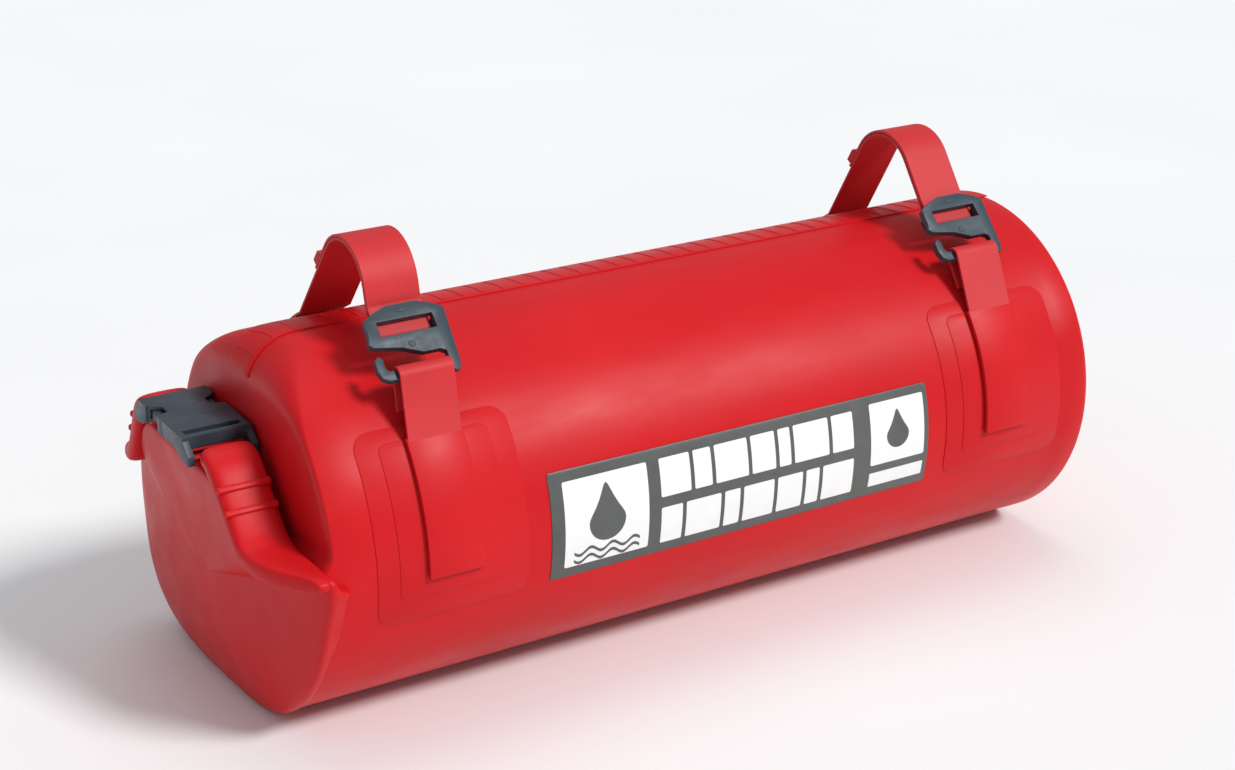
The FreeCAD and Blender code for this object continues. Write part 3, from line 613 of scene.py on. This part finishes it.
def thicken_and_bend(work, radius, thickness, edge=0.0, shoulder=False):
    """Give flat panels a thickness and soft edges, then bend them round the bag and its shoulder."""
    low = min(v.co.y for v in work.verts)
    high = max(v.co.y for v in work.verts)
    step = math.radians(BEND_STEP) * radius
    cuts = []
    for cut in range(1, math.ceil((high - low) / step)):
        cuts.append(((0, low + cut * step, 0), (0, 1, 0)))
    if shoulder:
        cuts += [((SHOULDER_START - cut * SEAM_CUT, 0, 0), (1, 0, 0)) for cut in range(13)]
    for place, direction in cuts:
        bmesh.ops.bisect_plane(work, geom=work.verts[:] + work.edges[:] + work.faces[:],
                               plane_co=place, plane_no=direction)
    top = bmesh.ops.extrude_face_region(work, geom=work.faces[:])["geom"]
    verts = [g for g in top if isinstance(g, bmesh.types.BMVert)]
    bmesh.ops.translate(work, verts=verts, vec=(0, 0, thickness))
    if edge:
        rims = [e for e in work.edges if is_upper_rim(e, thickness / 2)]
        work.normal_update()
        bmesh.ops.bevel(work, geom=rims, offset=edge, affect="EDGES", segments=2, profile=0.5,
                        material=-1)
    for vertex in work.verts:
        turn = math.degrees(vertex.co.y / radius)
        height = radius + vertex.co.z - RADIUS
        if shoulder and vertex.co.x < SHOULDER_START:
            vertex.co = over_shoulder(SHOULDER_START - vertex.co.x, turn, height)
        else:
            vertex.co = in_section(vertex.co.x, around(turn, RADIUS + height))


def panel_piece(name, left, right, low, high, radius, thickness, corner, material, slot, stands_for,
                shoulder=False):
    """A panel on the bag, from left to right along it and from a low to a high angle."""
    work = bmesh.new()
    flat_panel(work, left, right, math.radians(low) * radius, math.radians(high) * radius, corner)
    thicken_and_bend(work, radius, thickness, 0.25 * MM, shoulder)
    finish_piece(name, work, material, stands_for, crease=CRISP)


def patches(side_name, place):
    """Outer and inner patches at the front and back under one loop."""
    # width in mm, lowest and highest angle, radius to the under side and corner in mm
    spans = {"": (77, -15.5, 43.5, 89.75, 9), "inner_": (55, -8, 39, 90.15, 4.5)}
    for kind, (width, low, high, radius, corner) in spans.items():
        for side in ("front", "back"):
            angles = (low, high) if side == "front" else (180 - high, 180 - low)
            node = f"{side}_{kind}patch_{side_name}"
            half = width / 2 * MM
            panel_piece(f"{node}_cover", place - half, place + half, *angles, radius * MM,
                        PATCH_THICKNESS, corner * MM, PATCH_RED, "patch_fabric", (node,))


def top_seam():
    """The welded overlap along the top, with its row of cross welds."""
    left, right = SHOULDER_START - SHOULDER_SEAM, ROUND_END - 1 * MM
    radius = RADIUS + 0.05 * MM
    panel_piece("top_seam_strip_cover", left, right, SEAM_LOW, SEAM_HIGH, radius, PATCH_THICKNESS,
                0, PATCH_RED, "patch_fabric", ("top_seam_strip",), shoulder=True)
    work = bmesh.new()
    pitch, half = 11 * MM, 0.9 * MM
    low, high = math.radians(91) * radius, math.radians(105) * radius
    for mark in range(1, int((right - left) / pitch)):
        place = left + mark * pitch
        flat_panel(work, place - half, place + half, low, high)
    thicken_and_bend(work, radius + 0.5 * MM, 0.42 * MM, 0.15 * MM, shoulder=True)
    finish_piece("top_seam_cross_welds", work, PATCH_RED, crease=CRISP)


# ---------------------------------------------------------------- the label


def label():
    """A grey panel with white blocks, and a drop and waves printed on them."""
    radius = RADIUS + 0.15 * MM
    panel_piece("label_panel_face", -LABEL_HALF, LABEL_HALF, LABEL_LOW, LABEL_HIGH, radius, 0.3 * MM,
                1.5 * MM, LABEL_GREY, "label_grey", ("label_panel",))
    low = math.radians(LABEL_LOW) * radius
    high = math.radians(LABEL_HIGH) * radius
    tall = high - low
    # the white square, the block and the bar: left and right in mm, bottom and top as
    # shares of the label's height, and the corner in mm
    work = bmesh.new()
    for left, right, bottom, top, corner in (
        (-104, -58, 0.1, 0.9, 1),
        (74, 108, 0.32, 0.92, 1),
        (74, 108, 0.1, 0.24, 0.5),
    ):
        flat_panel(work, left * MM, right * MM, low + bottom * tall, low + top * tall, corner * MM)
    # two rows of plain blocks where words would be: their widths in mm, by their bottom
    rows = {
        0.55: (17, 10, 19, 14, 7, 21, 13),
        0.1: (12, 20, 9, 18, 15, 8, 19),
    }
    row_start, row_height, gap = -51, 0.35, 2.2
    for bottom, widths in rows.items():
        place = row_start
        for width in widths:
            flat_panel(work, place * MM, (place + width) * MM, low + bottom * tall,
                       low + (bottom + row_height) * tall, 0.8 * MM)
            place += width + gap
    thicken_and_bend(work, radius + 0.3 * MM, 0.15 * MM)
    finish_piece("label_print_white", work, LABEL_WHITE, ("label_print",),
                 crease=CRISP)
    work = bmesh.new()
    label_drop(work, -81 * MM, low + 0.47 * tall, 10 * MM)
    label_drop(work, 91 * MM, low + 0.58 * tall, 7 * MM)
    for height in (0.15, 0.225):
        label_wave(work, -99 * MM, -63 * MM, low + height * tall, 1.6 * MM)
    thicken_and_bend(work, radius + 0.45 * MM, 0.08 * MM)
    finish_piece("label_print_marks", work, LABEL_GREY, crease=CRISP)


def label_drop(work, x, y, size):
    """A water drop: a disc drawn out to a point."""
    verts = bmesh.ops.create_circle(work, cap_ends=True, segments=28, radius=size)["verts"]
    for vertex in verts:
        rise = max(vertex.co.y / size, 0)
        vertex.co.x *= 1 - rise ** 2 * 0.55
        vertex.co.y *= 1 + 0.9 * rise ** 3
    bmesh.ops.translate(work, verts=verts, vec=(x, y, 0))


def label_wave(work, left, right, y, thick):
    """A wavy line of water."""
    waves = 3
    verts = bmesh.ops.create_grid(work, x_segments=36, y_segments=1, size=0.5)["verts"]
    bmesh.ops.scale(work, verts=verts, vec=(right - left, thick, 1))
    for vertex in verts:
        vertex.co.y += thick * math.sin(vertex.co.x / (right - left) * waves * math.tau)
    bmesh.ops.translate(work, verts=verts, vec=((left + right) / 2, y, 0))


# ---------------------------------------------------------------- webbing


def turned(vector, angle):
    """A vector of the section, turned by an angle."""
    return Vector((vector.x * math.cos(angle) - vector.y * math.sin(angle),
                   vector.x * math.sin(angle) + vector.y * math.cos(angle)))


def arc_through(centre, start, middle, end, steps):
    """Points round a centre, from start to end by way of the middle."""
    first, via, last = ((p - centre) for p in (start, middle, end))
    begin = math.atan2(first.y, first.x)
    passing = (math.atan2(via.y, via.x) - begin) % math.tau
    sweep = (math.atan2(last.y, last.x) - begin) % math.tau
    if passing > sweep:
        sweep -= math.tau
    return [centre + turned(first, sweep * step / steps) for step in range(steps + 1)]


def bag_arc(angle_from, angle_to, radius):
    """Points on an arc round the bag's axis."""
    middle = (angle_from + angle_to) / 2
    ends = [around(angle, radius) for angle in (angle_from, middle, angle_to)]
    steps = max(int(abs(angle_to - angle_from) / BEND_STEP), 2)
    return arc_through(Vector((0, 0)), *ends, steps)


def bent_path(points, radii):
    """Straight runs joined by tangent arcs, one radius for each inner point."""
    path = [points[0]]
    for before, corner, after, radius in zip(points, points[1:], points[2:], radii):
        inwards = (before - corner).normalized()
        onwards = (after - corner).normalized()
        half = inwards.angle(onwards) / 2
        centre = corner + (inwards + onwards).normalized() * (radius / math.sin(half))
        reach = radius / math.tan(half)
        first, last = corner + inwards * reach, corner + onwards * reach
        nearest = centre + (corner - centre).normalized() * radius
        path += arc_through(centre, first, nearest, last, BEND_CUTS)
    return path + [points[-1]]


def tangent_point(centre, radius, point, side):
    """Where a line from a point touches a circle, on the side given as +1 or -1."""
    reach = point - centre
    turn = math.atan2(reach.y, reach.x) + side * math.acos(radius / reach.length)
    return centre + Vector((math.cos(turn), math.sin(turn))) * radius


def webbing_strip(name, path, middle_x, stands_for, body="bag"):
    """A strip of webbing along a path of the section, with its weave laid out along it."""
    work = bmesh.new()
    line = []
    for point in path:
        if not line or (in_section(0, point) - in_section(0, line[-1])).length > 0.05 * MM:
            line.append(point)
    left = middle_x - WEBBING_WIDTH / 2
    verts = [work.verts.new(in_section(left, point)) for point in line]
    run = {verts[0]: 0.0}
    for before, after in zip(verts, verts[1:]):
        run[after] = run[before] + (after.co - before.co).length
    edges = [work.edges.new(pair) for pair in zip(verts, verts[1:])]
    grown = bmesh.ops.extrude_edge_only(work, edges=edges)["geom"]
    fresh = [g for g in grown if isinstance(g, bmesh.types.BMVert)]
    for vertex, source in partner_positions(verts, fresh).items():
        run[vertex] = run[source]
    bmesh.ops.translate(work, verts=fresh, vec=(WEBBING_WIDTH, 0, 0))
    layout = work.loops.layers.uv.new("weave")
    for face in work.faces:
        for loop in face.loops:
            loop[layout].uv = (loop.vert.co.x - left, run[loop.vert])
    piece = finish_piece(name, work, WEBBING_RED, stands_for, body, turn_out=False)
    wall = piece.modifiers.new("thickness", "SOLIDIFY")
    wall.thickness = WEBBING_THICKNESS
    wall.offset = 0
    round_edges(piece, 0.35 * MM, 2, 50)
    return piece


class Loop:
    """One strap loop: its place along the bag, and its hook, keeper bar and apex in the section.

    The bar and the apex are given in mm from the bag's axis. The landing is the angle at
    which the strap meets the bag again at the back.
    """

    def __init__(self, name, place, bar, apex, landing):
        self.name = name
        self.place = place
        self.bar = Vector(bar) * MM
        self.apex = Vector(apex) * MM
        self.landing = landing
        self.up = Vector((math.cos(HOOK_TILT), math.sin(HOOK_TILT)))
        self.out = Vector((-math.sin(HOOK_TILT), math.cos(HOOK_TILT)))
        self.keeper = self.bar + self.up * KEEPER_UP - self.out * KEEPER_BACK


def front_loop(loop):
    """Webbing that rises from the front patch, turns over the hook's bar and comes back."""
    turn = math.hypot(HOOK_BAR / 2, HOOK_THICKNESS / 2) + WEBBING_GAP + WEBBING_THICKNESS / 2
    lift = around(LOOP_LIFT, WEBBING_RADIUS)
    back = around(LOOP_BACK, WEBBING_RADIUS)
    rise = tangent_point(loop.bar, turn, lift, -1)
    fall = tangent_point(loop.bar, turn, back, 1)
    crown = loop.bar + (loop.bar - (lift + back) * 0.5).normalized() * turn
    path = bag_arc(LOOP_LOW, LOOP_LIFT, WEBBING_RADIUS)
    path += arc_through(loop.bar, rise, crown, fall, BEND_CUTS)
    path.append(back)
    node = f"front_loop_{loop.name}"
    webbing_strip(f"{node}_webbing", path, loop.place, (node,))
    half = WEBBING_WIDTH / 2 + 0.6 * MM
    panel_piece(f"{node}_cover", loop.place - half, loop.place + half, LOOP_LOW - 0.6,
                LOOP_LIFT + 1.6, WEBBING_RADIUS - WEBBING_THICKNESS / 2,
                WEBBING_THICKNESS + LOOP_COVER, 0, PATCH_RED, "patch_fabric", ())


def strap(loop):
    """Webbing from the back patch over the top to the hook's keeper bar, and its tail back."""
    turn = KEEPER_RADIUS + WEBBING_GAP + WEBBING_THICKNESS / 2
    spacing = WEBBING_THICKNESS + WEBBING_GAP
    foot = around(loop.landing, WEBBING_RADIUS)
    behind = HOOK_THICKNESS / 2 + WEBBING_GAP + WEBBING_THICKNESS / 2
    tail_bend = loop.bar + loop.up * (HOOK_HEIGHT + 2 * MM) - loop.out * behind
    main_bend = tail_bend - loop.out * spacing
    forward = (main_bend - loop.apex).normalized()
    backward = (foot - loop.apex).normalized()
    outwards = -(forward + backward).normalized()
    half = forward.angle(backward) / 2
    tail_apex = loop.apex + outwards * (spacing / math.sin(half))
    tail_start = tangent_point(loop.keeper, turn, tail_bend, 1)
    main_end = tangent_point(loop.keeper, turn, main_bend, -1)
    crown = loop.keeper - loop.up * turn
    across = Vector((-backward.y, backward.x))
    tail_foot = foot + across * spacing - backward * TAIL_LENGTH
    path = bag_arc(180 - LOOP_LOW, loop.landing, WEBBING_RADIUS)
    path += bent_path([foot, loop.apex, main_bend, main_end], [APEX_ROUND, HOOK_BEND + spacing])
    path += arc_through(loop.keeper, main_end, crown, tail_start, BEND_CUTS)
    path += bent_path([tail_start, tail_bend, tail_apex, tail_foot],
                      [HOOK_BEND, APEX_ROUND + spacing])
    node = f"strap_{loop.name}"
    piece = webbing_strip(f"{node}_webbing", path, loop.place, (node,), None)
    lift = 1.5 * WEBBING_THICKNESS + WEBBING_GAP
    hem = tail_foot + across * lift - backward * spacing
    layer = across * HEM_LAYER
    fold = hem - backward * HEM_LENGTH
    hem_path = [hem + layer]
    hem_path += arc_through(fold, fold + layer, fold - backward * layer.length, fold - layer,
                            FOLD_CUTS)
    hem_path.append(hem - layer)
    node = f"strap_hem_{loop.name}"
    folded = webbing_strip(f"{node}_webbing", hem_path, loop.place, (node,), None)
    for part in (piece, folded):
        settle(part)
        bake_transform(part)


def webbing_tab(name, side, pin_y, end_y, body):
    """A short webbing end folded round a buckle half's pin."""
    turn = PIN_RADIUS + WEBBING_GAP + WEBBING_THICKNESS / 2
    pin = Vector((pin_y, PIN_HEIGHT)) * MM
    tip = Vector((end_y, PIN_HEIGHT)) * MM
    rise = Vector((0, turn))
    path = [tip + rise]
    path += arc_through(pin, pin + rise, pin - Vector((side * turn, 0)), pin - rise, FOLD_CUTS)
    path.append(tip - rise)
    webbing_strip(f"webbing_tab_{name}_fold", path, ROLL_CENTRE, (f"webbing_tab_{name}",), body)


# ---------------------------------------------------------------- hooks and buckle


def moulded_copy(node, material, body, edge):
    """A CAD node's shape with its sharp corners moulded round."""
    work = bmesh.new()
    work.from_mesh(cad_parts[node].data)
    bmesh.ops.remove_doubles(work, verts=work.verts, dist=SAME_PLACE)
    bmesh.ops.dissolve_limit(work, angle_limit=math.radians(1), verts=work.verts[:],
                             edges=work.edges[:])
    piece = finish_piece(f"{node}_moulding", work, material, (node,), body, turn_out=False)
    round_edges(piece, edge)


def hook_marks(loop):
    """A plain round boss and a shallow bar, raised on the front of a hook."""
    work = bmesh.new()
    face = loop.out * (HOOK_THICKNESS / 2 + 0.1 * MM)
    tilt = Matrix.Rotation(HOOK_TILT, 3, "X")
    # the boss and the bar: across and up from the hook's bar, radius in mm, and stretch
    for across, up, radius, stretch in ((-1, 13.4, 1.9, 1), (0.5, 30.5, 0.8, 4)):
        shape = bmesh.ops.create_cone(work, cap_ends=True, segments=24, radius1=radius * MM,
                                      radius2=radius * MM * 0.8, depth=0.5 * MM)["verts"]
        bmesh.ops.scale(work, verts=shape, vec=(stretch, 1, 1))
        bmesh.ops.rotate(work, verts=shape, cent=(0, 0, 0), matrix=tilt)
        middle = loop.bar + loop.up * up * MM + face
        bmesh.ops.translate(work, verts=shape, vec=in_section(loop.place + across * MM, middle))
    hook = f"hook_{loop.name}"
    piece = finish_piece(f"{hook}_marks", work, HOOK_SLATE, (), hook)
    round_edges(piece, 0.12 * MM, 1)


def loops():
    """Both strap loops with their patches and hooks."""
    for loop in (
        Loop("left", -STRAP_PLACE, bar=(-64.5, 85), apex=(-23, 160), landing=116),
        Loop("right", STRAP_PLACE, bar=(-57.5, 83.5), apex=(5, 152), landing=122),
    ):
        patches(loop.name, loop.place)
        front_loop(loop)
        strap(loop)
        hook = f"hook_{loop.name}"
        moulded_copy(hook, HOOK_SLATE, hook, 0.5 * MM)
        hook_marks(loop)


def buckle():
    """The buckle's halves and prongs, with the webbing ends that hold them."""
    for node, body, edge in (
        ("buckle_receiver", "bag", 0.45 * MM),
        ("buckle_male", "clip", 0.45 * MM),
        ("prong_left", "prong_left", 0.3 * MM),
        ("prong_right", "prong_right", 0.3 * MM),
    ):
        moulded_copy(node, BUCKLE_SLATE, body, edge)
    webbing_tab("near", -1, -2, -6.3, "clip")
    webbing_tab("far", 1, 45, 49.3, "bag")


# ---------------------------------------------------------------- studio


def camera():
    """The camera, in front of the folded mouth's side and a little above the bag."""
    data = bpy.data.cameras.new("studio_camera")
    data.lens = 64.13
    data.sensor_width = 36
    view = bpy.data.objects.new("studio_camera", data)
    bpy.context.scene.collection.objects.link(view)
    view.location = (-0.5678, -0.8902, 0.5267)
    forward = Vector((0.4876, 0.7925, -0.3664))
    view.rotation_euler = forward.to_track_quat("-Z", "Y").to_euler()
    bpy.context.scene.camera = view


def soft_sun(name, location, spread_angle, strength):
    """An even light from one side, soft by its angle."""
    data = bpy.data.lights.new(name, "SUN")
    data.angle = math.radians(spread_angle)
    data.energy = strength
    lamp = bpy.data.objects.new(name, data)
    bpy.context.scene.collection.objects.link(lamp)
    lamp.location = location
    lamp.rotation_euler = (-lamp.location).to_track_quat("-Z", "Y").to_euler()


def studio():
    """A wide pale floor, an even sky, two soft suns and the camera."""
    work = bmesh.new()
    bmesh.ops.create_circle(work, cap_ends=True, segments=64, radius=9)  # metres
    mesh = bpy.data.meshes.new("floor")
    work.to_mesh(mesh)
    work.free()
    floor = bpy.data.objects.new("floor", mesh)
    bpy.context.scene.collection.objects.link(floor)
    floor.data.materials.append(studio_floor())
    world = bpy.data.worlds.new("studio_world")
    world.use_nodes = True
    sky = world.node_tree.nodes["Background"]
    sky.inputs["Color"].default_value = (0.93, 0.96, 1, 1)
    sky.inputs["Strength"].default_value = 0.42
    bpy.context.scene.world = world
    soft_sun("key_light", (0.78, -1.3, 1.4), 14, 2.5)
    soft_sun("top_light", (0.1, 0.5, 2), 40, 0.5)
    bpy.context.scene.view_settings.view_transform = "Standard"
    camera()


bag_skin()
mouth_fold()
rolled_ends()
top_seam()
label()
loops()
buckle()
studio()
